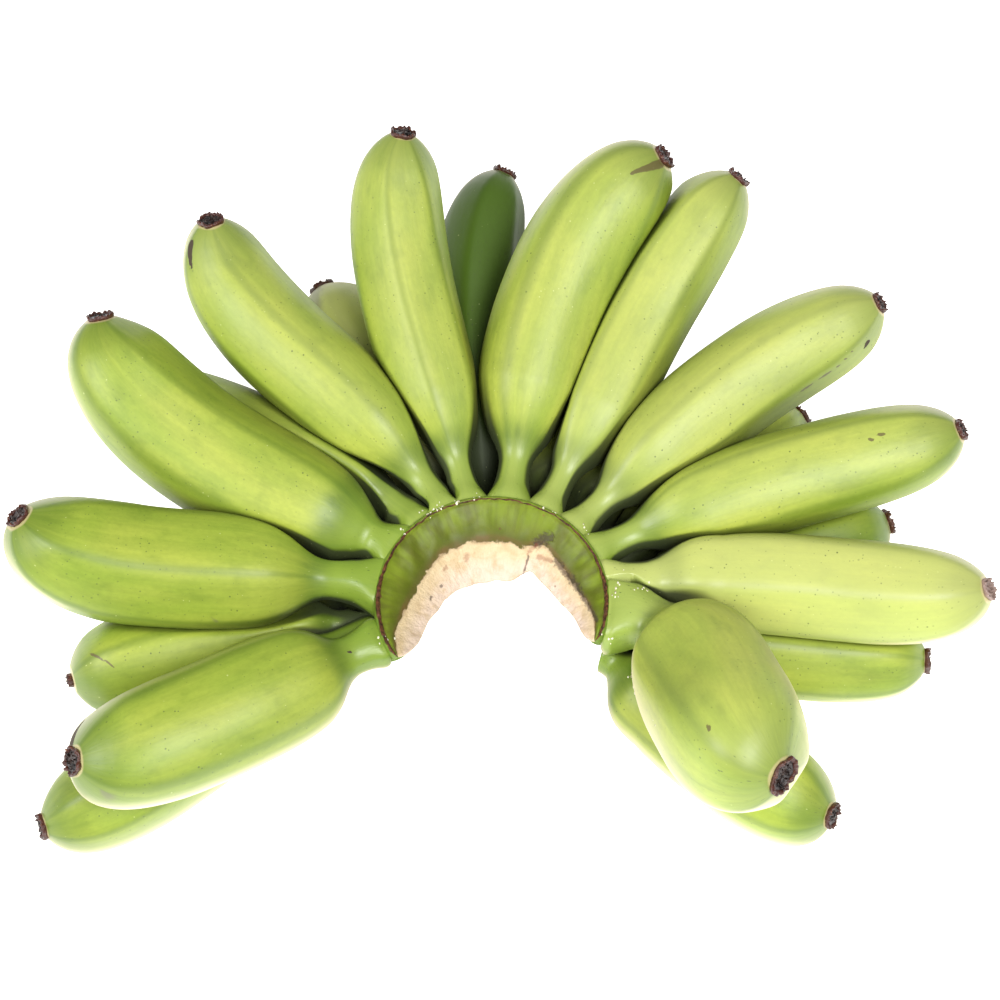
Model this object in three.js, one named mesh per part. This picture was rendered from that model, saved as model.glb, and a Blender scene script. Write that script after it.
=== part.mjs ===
// A hand of short, plump green plantains as cut from its stem and laid down: a crescent crown with two rows
// of fingers, the upper row bedded on the lower one, and the dried end of a flower on every finger tip.
// Millimetres, +Z up. The fingers spread in a fan round the Z axis, and the open side of the crown faces -Y.
import * as THREE from "three";
import { mergeVertices } from "three/addons/utils/BufferGeometryUtils.js";

// Clearance between pieces that touch, taken half from each finger and whole from the crown and flower ends.
const gap = 0.3;

// The crown: a crescent round the Z axis. Its outer wall carries the stalks, and its inner side is green skin
// that slopes in from the raised scar line to a bare knife cut.
const crown = {
  wallRadius: 38,
  wallFoot: 10,
  rimHeight: 44,
  rimWidth: 2.4,
  rimDrop: 1.6, // how far below the rim the skin starts
  footRound: 3,
  skinSlope: 0.65, // fall of the skin for each millimetre inwards
  cutSlope: 0.9,
  cutHollow: 0.4,
  edgeRound: 2, // the inner edge is bevelled by this much
  swellings: 17, // soft radial swellings of the skin, all the way round
  swellingHeight: 0.5,
  endLength: 0.07, // share of the crown's length over which each end is rounded off
  endSize: 0.4, // size of the section where it closes, as a share of its full size
  endCore: [34, 35], // distance from the Z axis and height to which the ends are drawn in
  stations: 46,
};

// Along the crown, by bearing in degrees from +X towards +Y: how wide the skin and the cut are.
const crownWidths = [
  [-17, 0.8, 1],
  [-8, 3.5, 2],
  [4, 6.5, 3],
  [22, 9.5, 3.5],
  [55, 11.5, 5],
  [90, 11.5, 7],
  [120, 11.5, 7.5],
  [185, 10.5, 8.5],
  [196, 5, 9],
  [207, 1, 6],
];

// A finger's half thickness along its length, as shares of its length and of half its girth.
const fingerOutline = [
  [0, 0.42],
  [0.05, 0.35],
  [0.12, 0.35],
  [0.18, 0.5],
  [0.25, 0.75],
  [0.33, 0.91],
  [0.44, 0.98],
  [0.58, 1],
  [0.72, 0.98],
  [0.84, 0.9],
  [0.92, 0.75],
  [0.97, 0.52],
  [1, 0.235],
];
const fingerStations = 15;
const fingerSides = 15; // three to each of the five soft ridges
const ridgeCount = 5;
const ridgeHeight = 0.035; // share of the half thickness
const pressingStations = 45; // balls along a finger, where its neighbours press on it
const pressingRange = 4; // balls further apart than this don't press on each other

// The dried flower end: a short stub with a torn, raised rim round a sunken middle. Each ring is given as its
// radius, its height and how much of the tear it shows.
const flowerRings = [
  [4.2, 0, 0],
  [4.7, 1, 0.2],
  [4.1, 2.6, 1],
  [2.4, 1.7, 0.3],
  [1, 2.2, 0],
];
const flowerSides = 9;
const flowerTear = 1.3; // how far the rim stands up or falls short where it is torn
const flowerSpread = 0.12; // how far it leans out or in there, as a share of its radius
const tearSteps = [7.3, 2.4]; // radians of the tear's wave from one flower end, and one side, to the next

// stalk and level: bearing and height at which the finger leaves the crown. turn: how far to the left the stalk
// leaves it, where not straight. bearing, reach and height: where the tip lies, the reach being from the Z axis.
// girth: greatest thickness. curl and swing: how far the tip points above and to the left of the finger's chord.
// dried: the flower end's length, where not the usual, as a share of it. Angles are in degrees.
const upperFingers = [
  { stalk: 198, level: 35, bearing: 205, reach: 144, height: 54, girth: 38, curl: 20, swing: -2 },
  { stalk: 167, level: 36, bearing: 172.5, reach: 152, height: 55, girth: 40, curl: 32, swing: -12, dried: 1.1 },
  { stalk: 146, level: 36, bearing: 145, reach: 158, height: 63, girth: 37.5, curl: 36, swing: -38, dried: 1.4 },
  { stalk: 115, level: 36, bearing: 126.5, reach: 157, height: 65, girth: 37, curl: 18, swing: -22 },
  { stalk: 102, level: 36, bearing: 101, reach: 156, height: 77, girth: 34.5, curl: 18, swing: -22, dried: 0.9 },
  { stalk: 82, level: 36, bearing: 70, reach: 156, height: 75, girth: 39, curl: 16, swing: -41, dried: 2.2 },
  { stalk: 64, level: 36, bearing: 61, reach: 165, height: 65, girth: 35, curl: 14, swing: -17, dried: 0.9 },
  { stalk: 47, level: 36, bearing: 38, reach: 158, height: 57, girth: 36, curl: 6, swing: -20 },
  { stalk: 31, level: 36, bearing: 19.5, reach: 160, height: 52, girth: 35, curl: 8, swing: -6, dried: 0.8 },
  { stalk: 12, level: 36, bearing: 0.5, reach: 156, height: 45, girth: 36, curl: 16, swing: 0 },
  { stalk: -2, level: 35, bearing: -41, reach: 114, height: 80, girth: 44, curl: 6, swing: 12, dried: 0.9 },
];
const lowerFingers = [
  { stalk: 193, level: 19, bearing: 206, reach: 157, height: 15, girth: 34, curl: 4, swing: 14 },
  { stalk: 176, level: 19, bearing: 186.5, reach: 136, height: 16, girth: 35, curl: 6, swing: 8, dried: 0.6 },
  { stalk: 155, level: 18, bearing: 156, reach: 108, height: 14, girth: 32, curl: 6, swing: 0, dried: 0.8 },
  { stalk: 129, level: 32, bearing: 141, reach: 146, height: 17, girth: 34, curl: 10, swing: -6, dried: 0.8 },
  { stalk: 108, level: 17, bearing: 112.5, reach: 141, height: 18, girth: 34, curl: 8, swing: 0, dried: 0.7 },
  { stalk: 92, level: 19, bearing: 89, reach: 163, height: 33, girth: 36, curl: 10, swing: -22, dried: 1.2 },
  { stalk: 72, level: 17, bearing: 74, reach: 131, height: 16, girth: 33, curl: 6, swing: 0, dried: 1.4 },
  { stalk: 53, level: 18, bearing: 46, reach: 130, height: 17, girth: 32, curl: 6, swing: 0, dried: 0.8 },
  { stalk: 34, level: 18, bearing: 38.5, reach: 131, height: 15, girth: 32, curl: 6, swing: 0 },
  { stalk: 16, level: 18, bearing: 17.5, reach: 136, height: 16, girth: 34, curl: 6, swing: 0 },
  { stalk: -2, level: 18, bearing: -3.5, reach: 140, height: 16, girth: 34, curl: 6, swing: 0 },
  { stalk: -10, turn: -45, level: 20, bearing: -32, reach: 124, height: 20, girth: 36, curl: 4, swing: 16 },
];

const peel = new THREE.MeshStandardMaterial({ color: 0xa9c45a, roughness: 0.42, metalness: 0 });
const crownSkin = new THREE.MeshStandardMaterial({ color: 0x8fa352, roughness: 0.55, metalness: 0 });
const driedFlower = new THREE.MeshStandardMaterial({ color: 0x4a3028, roughness: 0.9, metalness: 0 });

const up = new THREE.Vector3(0, 0, 1);
const radians = THREE.MathUtils.degToRad;

// A point at a bearing and a distance from the Z axis.
function onBearing(bearing, reach, height) {
  return new THREE.Vector3(Math.cos(radians(bearing)) * reach, Math.sin(radians(bearing)) * reach, height);
}

// A closed round bar, with place(along, around, out) giving where each of its points goes: along runs 0 to 1,
// around is an angle, and out is 1 on the bar's side and 0 in the middle of its two ends.
function mouldBar(sides, stations, place) {
  const bar = new THREE.CylinderGeometry(1, 1, 1, sides, stations);
  const points = bar.getAttribute("position");
  for (let i = 0; i < points.count; i += 1) {
    const out = Math.round(Math.hypot(points.getX(i), points.getZ(i)));
    const step = Math.round((Math.atan2(points.getX(i), points.getZ(i)) * sides) / (2 * Math.PI));
    const around = (((step + sides) % sides) * 2 * Math.PI) / sides;
    const placed = place(0.5 + points.getY(i), around, out);
    points.setXYZ(i, placed.x, placed.y, placed.z);
  }
  bar.deleteAttribute("normal");
  bar.deleteAttribute("uv");
  const closed = mergeVertices(bar);
  closed.computeVertexNormals();
  return closed;
}

// A value between the rows of a list, eased from one row to the next: each row starts with its place.
function valueAt(rows, place, column = 1) {
  const next = rows.findIndex((row) => row[0] >= place);
  if (next <= 0) return rows.at(next)[column];
  const [before, after] = [rows[next - 1], rows[next]];
  const slopes = [next - 1, next].map((i) => {
    const [back, front] = [rows[Math.max(i - 1, 0)], rows[Math.min(i + 1, rows.length - 1)]];
    return (front[column] - back[column]) / (front[0] - back[0]);
  });
  const span = after[0] - before[0];
  const t = (place - before[0]) / span;
  return (
    before[column] * (2 * t ** 3 - 3 * t ** 2 + 1) +
    after[column] * (3 * t ** 2 - 2 * t ** 3) +
    span * (slopes[0] * (t ** 3 - 2 * t ** 2 + t) + slopes[1] * (t ** 3 - t ** 2))
  );
}

// The centre line of a finger: out from the crown's wall, then bending to the tip.
function centreLine(finger) {
  const root = onBearing(finger.stalk, crown.wallRadius + gap, finger.level);
  const tip = onBearing(finger.bearing, finger.reach, finger.height);
  const chord = tip.clone().sub(root);
  const aside = new THREE.Vector3().crossVectors(up, chord).normalize();
  const rise = new THREE.Vector3().crossVectors(chord, aside).normalize();
  const outwards = onBearing(finger.stalk + (finger.turn ?? 0), 1, 0);
  const arrive = chord
    .clone()
    .normalize()
    .addScaledVector(rise, Math.tan(radians(finger.curl)))
    .addScaledVector(aside, Math.tan(radians(finger.swing)))
    .normalize();
  const reach = chord.length() / 3;
  return new THREE.CubicBezierCurve3(
    root,
    root.clone().addScaledVector(outwards, reach),
    tip.clone().addScaledVector(arrive, -reach),
    tip,
  );
}

// The balls that fill a finger, from its root to its tip: where each is, how thick, and which way it faces.
function ballsOf(line, girth, count) {
  const balls = [];
  for (let i = 0; i <= count; i += 1) {
    const along = i / count;
    const ahead = line.getTangentAt(along);
    const side = new THREE.Vector3().crossVectors(ahead, up).normalize();
    balls.push({
      centre: line.getPointAt(along),
      radius: (valueAt(fingerOutline, along) * girth) / 2,
      ahead,
      side,
      over: new THREE.Vector3().crossVectors(side, ahead).normalize(),
    });
  }
  return balls;
}

// How far a finger reaches from a ball's centre in one direction, where other fingers press on it: never past
// the plane in which its ball and a ball of the other finger would cut each other.
function pressedReach(ball, direction, reach, others) {
  let least = reach;
  for (const other of others) {
    const apart = other.centre.clone().sub(ball.centre);
    const facing = apart.dot(direction);
    if (facing <= 0 || apart.lengthSq() > (ball.radius + other.radius + pressingRange) ** 2) continue;
    const plane = (apart.lengthSq() + ball.radius ** 2 - other.radius ** 2) / (2 * facing);
    least = Math.min(least, plane - (gap * apart.length()) / (2 * facing));
  }
  return least;
}

function ridged(radius, around) {
  return radius * (1 + ridgeHeight * Math.cos(ridgeCount * around));
}

// One finger: a bar swept along its balls, with soft ridges, pressed by its neighbours and by the ground.
function fingerGeometry(finger) {
  return mouldBar(fingerSides, fingerStations, (along, around, out) => {
    const ball = finger.balls[Math.round(along * fingerStations)];
    if (out === 0) return ball.centre.clone();
    const direction = ball.over
      .clone()
      .multiplyScalar(Math.cos(around))
      .addScaledVector(ball.side, Math.sin(around));
    const reach = pressedReach(ball, direction, ridged(ball.radius, around), finger.others);
    const point = ball.centre.clone().addScaledVector(direction, reach);
    point.z = Math.max(point.z, 0);
    return along === 0 ? ontoWall(point) : point;
  });
}

// A point moved straight in or out until it is just clear of the crown's wall.
function ontoWall(point) {
  const scale = (crown.wallRadius + gap) / Math.hypot(point.x, point.y);
  return new THREE.Vector3(point.x * scale, point.y * scale, point.z);
}

// The crown's section at a bearing, as distances from the Z axis and heights: up the wall, over the scar line,
// down the skin and the cut to the inner edge, and back along the underside.
function crownSection(bearing) {
  const { wallRadius, wallFoot, rimHeight, rimWidth, rimDrop, footRound, edgeRound } = crown;
  const skin = valueAt(crownWidths, bearing, 1);
  const cut = valueAt(crownWidths, bearing, 2);
  const swelling = crown.swellingHeight * Math.cos(radians(bearing) * crown.swellings);
  const skinTop = wallRadius - rimWidth;
  const skinHeight = rimHeight - rimDrop;
  const cutTop = skinTop - skin;
  const cutHeight = skinHeight - skin * crown.skinSlope;
  const edge = cutTop - cut;
  const edgeHeight = cutHeight - cut * crown.cutSlope;
  return [
    [wallRadius, wallFoot + footRound],
    [wallRadius, (wallFoot + rimHeight) / 2],
    [wallRadius, rimHeight - footRound],
    [wallRadius - rimWidth * 0.1, rimHeight - rimDrop / 2],
    [wallRadius - rimWidth * 0.45, rimHeight],
    [wallRadius - rimWidth * 0.85, rimHeight - rimDrop / 2],
    [skinTop, skinHeight],
    [skinTop - skin / 2, (skinHeight + cutHeight) / 2 + swelling],
    [cutTop, cutHeight],
    [cutTop - cut / 2, (cutHeight + edgeHeight) / 2 - crown.cutHollow],
    [edge, edgeHeight],
    [edge + edgeRound, edgeHeight - edgeRound],
    [(edge + wallRadius) / 2, (edgeHeight + wallFoot) / 2 - edgeRound],
    [wallRadius - footRound, wallFoot],
  ];
}

// The crown: its section swept round the Z axis from one end to the other, both ends rounded off.
function crownGeometry() {
  const sides = crownSection(0).length;
  const [rightEnd, leftEnd] = [crownWidths[0][0], crownWidths.at(-1)[0]];
  return mouldBar(sides, crown.stations, (along, around, out) => {
    const bearing = leftEnd + (rightEnd - leftEnd) * along;
    const corner = crownSection(bearing)[Math.round((around * sides) / (2 * Math.PI)) % sides];
    const fromEnd = Math.min(along, 1 - along) / crown.endLength;
    const roundness = Math.sqrt(1 - Math.max(0, 1 - fromEnd) ** 2);
    const size = crown.endSize + (1 - crown.endSize) * roundness;
    const core = new THREE.Vector2(...crown.endCore);
    const point = core.lerp(new THREE.Vector2(...corner), out * size);
    return onBearing(bearing, point.x, point.y);
  });
}

// The dried flower end, standing on the XY plane: rings with a torn rim, the tear drawn from a seed.
function flowerGeometry(finger, seed) {
  const [seedStep, sideStep] = tearSteps;
  const tears = Array.from({ length: flowerSides }, (_, i) => Math.sin(seed * seedStep + i * sideStep));
  return mouldBar(flowerSides, flowerRings.length - 1, (along, around, out) => {
    const [radius, height, torn] = flowerRings[Math.round(along * (flowerRings.length - 1))];
    const tear = tears[Math.round((around * flowerSides) / (2 * Math.PI))] * torn;
    const reach = out * radius * (1 + flowerSpread * tear);
    const lift = (height + flowerTear * tear * out) * (finger.dried ?? 1);
    return new THREE.Vector3(Math.sin(around) * reach, -Math.cos(around) * reach, lift);
  });
}

const hand = new THREE.Group();
const rows = { upper: upperFingers, lower: lowerFingers };
const fingers = Object.entries(rows).flatMap(([row, list]) =>
  list.map((finger, i) => {
    const line = centreLine(finger);
    return {
      ...finger,
      label: row + "_" + String(i + 1).padStart(2, "0"),
      balls: ballsOf(line, finger.girth, fingerStations),
      pressing: ballsOf(line, finger.girth, pressingStations),
    };
  }),
);
const crownMesh = new THREE.Mesh(crownGeometry(), crownSkin);
crownMesh.name = "crown";
hand.add(crownMesh);

fingers.forEach((finger, i) => {
  finger.others = fingers.filter((one) => one !== finger).flatMap((one) => one.pressing);
  const body = new THREE.Mesh(fingerGeometry(finger), peel);
  body.name = "finger_" + finger.label;

  const flower = new THREE.Mesh(flowerGeometry(finger, i + 1), driedFlower);
  flower.name = "flower_end_" + finger.label;
  const tip = finger.balls.at(-1);
  flower.position.copy(tip.centre).addScaledVector(tip.ahead, gap);
  flower.quaternion.setFromUnitVectors(up, tip.ahead);
  hand.add(body, flower);
});

// The hand lies on the ground plane with the middle of its outline over the origin.
const bounds = new THREE.Box3().setFromObject(hand, true);
const middle = bounds.getCenter(new THREE.Vector3());
hand.position.set(-middle.x, -middle.y, -bounds.min.z);

export default hand;
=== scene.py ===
from functools import partial
from math import cos, pi, radians, sin, tan

import bpy
import numpy as np
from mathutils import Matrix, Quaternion, Vector, noise


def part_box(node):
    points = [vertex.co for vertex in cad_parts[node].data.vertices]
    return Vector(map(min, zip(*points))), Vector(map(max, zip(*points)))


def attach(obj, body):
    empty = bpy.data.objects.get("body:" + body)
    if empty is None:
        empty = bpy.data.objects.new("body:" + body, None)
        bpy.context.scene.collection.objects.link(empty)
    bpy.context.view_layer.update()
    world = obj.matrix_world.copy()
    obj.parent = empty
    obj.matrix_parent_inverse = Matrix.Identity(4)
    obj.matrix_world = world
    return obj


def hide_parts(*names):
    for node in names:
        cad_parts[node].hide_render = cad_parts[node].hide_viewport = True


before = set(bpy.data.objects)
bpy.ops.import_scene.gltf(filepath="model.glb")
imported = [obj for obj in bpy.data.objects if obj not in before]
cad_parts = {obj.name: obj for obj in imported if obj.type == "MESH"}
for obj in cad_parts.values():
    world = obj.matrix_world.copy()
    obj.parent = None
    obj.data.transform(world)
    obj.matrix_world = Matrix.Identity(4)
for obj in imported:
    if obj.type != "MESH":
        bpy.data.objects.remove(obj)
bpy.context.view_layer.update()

mm = 0.001
up = Vector((0, 0, 1))
seedStep = 3.7             # how far apart the noise of one finger is from the next one's
print("frame loaded:", len(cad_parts), "nodes")


# Links or sets a node's inputs.
def fill(node, inputs):
    for key, value in inputs.items():
        if isinstance(value, bpy.types.NodeSocket):
            node.id_data.links.new(value, node.inputs[key])
        else:
            node.inputs[key].default_value = value


# Adds a node, sets what it is, fills its inputs and gives its outputs.
def put(tree, kind, inputs=None, **settings):
    made = tree.nodes.new(kind)
    for name, value in settings.items():
        setattr(made, name, value)
    fill(made, inputs or {})
    return made.outputs


def shape(tree, kind, inputs=None, **settings):
    return put(tree, "GeometryNode" + kind, inputs, **settings)[0]


# The tree that some values are worked out in, told by those that are sockets.
def treeOf(*values):
    return next(value.id_data for value in values if isinstance(value, bpy.types.NodeSocket))


def calc(operation, *values):
    return put(treeOf(*values), "ShaderNodeMath", dict(enumerate(values)), operation=operation)[0]


def along3(operation, *values):
    made = put(treeOf(*values), "ShaderNodeVectorMath", dict(enumerate(values)), operation=operation)
    return made["Value" if operation in ("LENGTH", "DISTANCE") else "Vector"]


times, plus, minus, divided = (partial(calc, name) for name in ("MULTIPLY", "ADD", "SUBTRACT", "DIVIDE"))
power, most, timesPlus = (partial(calc, name) for name in ("POWER", "MAXIMUM", "MULTIPLY_ADD"))
plus3, minus3, cross3 = (partial(along3, name) for name in ("ADD", "SUBTRACT", "CROSS_PRODUCT"))
times3, unit = partial(along3, "MULTIPLY"), partial(along3, "NORMALIZE")


def scaled(vector, factor):
    inputs = {0: vector, "Scale": factor}
    return put(treeOf(vector, factor), "ShaderNodeVectorMath", inputs, operation="SCALE")[0]


def combined(*values):
    return put(treeOf(*values), "ShaderNodeCombineXYZ", dict(enumerate(values)))[0]


# A value moved from one range to another, eased or straight.
def eased(value, low, high, fromLow=0.0, fromHigh=1.0, kind="SMOOTHSTEP"):
    inputs = {"Value": value, "From Min": low, "From Max": high, "To Min": fromLow, "To Max": fromHigh}
    return put(value.id_data, "ShaderNodeMapRange", inputs, interpolation_type=kind)["Result"]


def blended(mask, first, second):
    colours = {0: mask, 6: first, 7: second}
    return put(treeOf(mask, first, second), "ShaderNodeMix", colours, data_type="RGBA", clamp_factor=True)[2]


def rgb(red, green, blue):
    shares = [((c / 255 + 0.055) / 1.055) ** 2.4 if c > 10 else c / 255 / 12.92 for c in (red, green, blue)]
    return (*shares, 1.0)


# Lays colours over a first one. Each layer is a mask, how strongly it shows, and a colour or its name.
def layered(look, first, *layers):
    colour = rgb(*look[first])
    for mask, strength, second in layers:
        if isinstance(second, str):
            second = rgb(*look[second])
        colour = blended(mask if strength == 1 else times(mask, strength), colour, second)
    return colour


# Noise; with a seed it is another one for each piece.
def cloudy(tree, scale, detail=3.0, roughness=0.5, vector=None, seed=None, output="Fac"):
    inputs = {"Scale": scale, "Detail": detail, "Roughness": roughness}
    if vector is not None:
        inputs["Vector"] = vector
    if seed is not None:
        inputs["W"] = seed
    return put(tree, "ShaderNodeTexNoise", inputs, noise_dimensions="3D" if seed is None else "4D")[output]


# An empty tree with named inputs and outputs, listed by the kinds of their sockets.
def newTree(name, kind, inputs, outputs):
    tree = bpy.data.node_groups.new(name, kind)
    for direction, listed in (("INPUT", inputs), ("OUTPUT", outputs)):
        for socketKind, labels in listed.items():
            for label in labels.split(", "):
                tree.interface.new_socket(label, in_out=direction, socket_type="NodeSocket" + socketKind)
    return tree, tree.nodes.new("NodeGroupInput").outputs, tree.nodes.new("NodeGroupOutput")


# Smooths, realizes and paints what a tree has made, and hands it out.
def handOut(geometry, material, result):
    tree = geometry.id_data
    geometry = shape(tree, "SetShadeSmooth", {"Geometry": geometry})
    geometry = shape(tree, "RealizeInstances", {"Geometry": geometry})
    geometry = shape(tree, "SetMaterial", {"Geometry": geometry, "Material": material})
    fill(result, {0: geometry})


def stored(geometry, name, value, kind="FLOAT"):
    inputs = {"Geometry": geometry, "Name": name, "Value": value}
    return shape(geometry.id_data, "StoreNamedAttribute", inputs, data_type=kind)


def moved(geometry, place, key="Position"):
    return shape(geometry.id_data, "SetPosition", {"Geometry": geometry, key: place})


def joined(*parts):
    tree = treeOf(*parts)
    whole = tree.nodes.new("GeometryNodeJoinGeometry")
    for part in parts:
        tree.links.new(part, whole.inputs[0])
    return whole.outputs[0]


def newPiece(name, mesh):
    piece = bpy.data.objects.new(name, mesh)
    bpy.context.scene.collection.objects.link(piece)
    return piece


# Runs a tree on a start mesh, with its inputs given by name, and keeps the plain mesh that it makes.
def meshFrom(name, tree, values, start=None):
    start = start or bpy.data.meshes.new(name + "_start")
    holder = newPiece(name + "_grown", start)
    modifier = holder.modifiers.new("grow", "NODES")
    modifier.node_group = tree
    for item in tree.interface.items_tree:
        if item.item_type == "SOCKET" and item.in_out == "INPUT" and item.name in values:
            value = values[item.name]
            modifier[item.identifier] = float(value) if item.socket_type == "NodeSocketFloat" else value
    holder.update_tag()
    depsgraph = bpy.context.evaluated_depsgraph_get()
    evaluated = holder.evaluated_get(depsgraph)
    mesh = bpy.data.meshes.new_from_object(evaluated, preserve_all_data_layers=True, depsgraph=depsgraph)
    mesh.name = name
    bpy.data.objects.remove(holder)
    bpy.data.meshes.remove(start)
    return newPiece(name, mesh)


# The places, normals or other values of a mesh's points, as rows of three or as single ones.
def readValues(mesh, name, wide=1):
    values = np.empty(len(mesh.vertices) * wide, dtype=np.float32)
    if name == "normal":
        mesh.vertices.foreach_get("normal", values)
    else:
        mesh.attributes[name].data.foreach_get("vector" if wide == 3 else "value", values)
    return values.reshape(-1, wide).astype(float) if wide == 3 else values


def writeValues(mesh, name, values):
    made = mesh.attributes.get(name) or mesh.attributes.new(name, "FLOAT", "POINT")
    made.data.foreach_set("value", np.asarray(values, dtype=np.float32))


# Says what a finished piece is part of.
def settle(piece, slot, *nodes):
    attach(piece, "root")
    if nodes:
        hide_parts(*nodes)


# A value between the rows of a list, eased from row to row; each row starts with its place.
def valueAt(rows, place, column=1):
    places = [row[0] for row in rows]
    after = min(max(int(np.searchsorted(places, place)), 1), len(rows) - 1)
    slopes = []
    for i in (after - 1, after):
        back, front = rows[max(i - 1, 0)], rows[min(i + 1, len(rows) - 1)]
        slopes.append((front[column] - back[column]) / (front[0] - back[0]))
    span = places[after] - places[after - 1]
    t = min(max((place - places[after - 1]) / span, 0), 1)
    low, high = rows[after - 1][column], rows[after][column]
    level = low * (2 * t**3 - 3 * t**2 + 1) + high * (3 * t**2 - 2 * t**3)
    return level + span * (slopes[0] * (t**3 - 2 * t**2 + t) + slopes[1] * (t**3 - t**2))


# The share of the way from a low to a high value, or the same eased at both ends.
def shareOf(values, low, high):
    return np.clip((values - low) / (high - low), 0, 1)


def easedShare(values, low, high):
    share = shareOf(values, low, high)
    return 3 * share**2 - 2 * share**3


def polar(bearing, reach, height):
    return Vector((cos(radians(bearing)) * reach, sin(radians(bearing)) * reach, height))


def chaos(point, scale, seed):
    return noise.noise(Vector(point) * scale + Vector((seed * 3.1, seed * 1.7, -seed * 2.3)))


# Waves of several heights and sizes, added up.
def waves(place, listed):
    return sum(height * chaos(place, scale, seed) for height, scale, seed in listed)


# How near each place is to a line through some points: 1 on it, 0 at its width, and below that outside.
def nearLine(places, line, width, taper=0.0):
    near = np.full(len(places), -np.inf)
    line = [np.array(point) for point in line]
    for i, (start, end) in enumerate(zip(line, line[1:])):
        span = end - start
        share = np.clip((places - start) @ span / max(span @ span, 1e-9), 0, 1)
        away = np.linalg.norm(places - start - share[:, None] * span, axis=1)
        near = np.maximum(near, 1 - away / (width * (1 - taper * (i + share) / (len(line) - 1))))
    return near


# Effects that several materials share. First soft clouds of two tones, drawn out along Z by the stretch.
def mottleGroup():
    tree, given, result = newTree("softMottle", "ShaderNodeTree", {
        "Vector": "Vector", "Float": "Scale, Low, High, Stretch, Roughness"}, {"Float": "Mask, Raw"})
    place = times3(given["Vector"], combined(1.0, 1.0, given["Stretch"]))
    clouds = cloudy(tree, given["Scale"], roughness=given["Roughness"], vector=place)
    fill(result, {"Mask": eased(clouds, given["Low"], given["High"]), "Raw": clouds})
    return tree


# Small round specks, each of its own size, thinned out by a share.
def speckGroup():
    tree, given, result = newTree("fineSpecks", "ShaderNodeTree", {
        "Vector": "Vector", "Float": "Scale, Size, Share"}, {"Float": "Mask"})
    cells = put(tree, "ShaderNodeTexVoronoi", {"Vector": given["Vector"], "Scale": given["Scale"]})
    parts = put(tree, "ShaderNodeSeparateColor", {0: cells["Color"]})
    kept = calc("LESS_THAN", parts[0], given["Share"])
    size = times(given["Size"], timesPlus(parts[1], 0.8, 0.4))
    fill(result, {"Mask": times(eased(cells["Distance"], size, times(size, 0.45)), kept)})
    return tree


# Where a painted value passes a level, with a ragged edge.
def raggedGroup():
    tree, given, result = newTree("raggedEdge", "ShaderNodeTree", {
        "Vector": "Vector", "Float": "Value, Level, Softness, Scale, Raggedness"}, {"Float": "Mask"})
    tatters = cloudy(tree, given["Scale"], vector=given["Vector"])
    value = plus(given["Value"], times(minus(tatters, 0.5), given["Raggedness"]))
    fill(result, {"Mask": eased(value, given["Level"], plus(given["Level"], given["Softness"]))})
    return tree


softMottle, fineSpecks, raggedEdge = mottleGroup(), speckGroup(), raggedGroup()


def placed(group, vector, **inputs):
    return put(vector.id_data, "ShaderNodeGroup", {"Vector": vector, **inputs}, node_tree=group)


def mottled(vector, scale, low, high, stretch=1.0, roughness=0.55):
    return placed(softMottle, vector, Scale=scale, Low=low, High=high, Stretch=stretch, Roughness=roughness)


def specked(vector, scale, size, share):
    return placed(fineSpecks, vector, Scale=scale, Size=size, Share=share)["Mask"]


def ragged(value, vector, level, softness, scale, raggedness):
    return placed(raggedEdge, vector, Value=value, Level=level, Softness=softness, Scale=scale,
                  Raggedness=raggedness)["Mask"]


def newMaterial(name):
    material = bpy.data.materials.new(name)
    material.use_nodes = True
    return material, material.node_tree, material.node_tree.nodes["Principled BSDF"]


def attribute(tree, name, output="Fac"):
    return put(tree, "ShaderNodeAttribute", attribute_name=name)[output]


def objectPlace(tree):
    return put(tree, "ShaderNodeTexCoord")["Object"]


def bumped(height, strength, distance):
    inputs = {"Height": height, "Strength": strength, "Distance": distance}
    return put(height.id_data, "ShaderNodeBump", inputs)[0]


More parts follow.
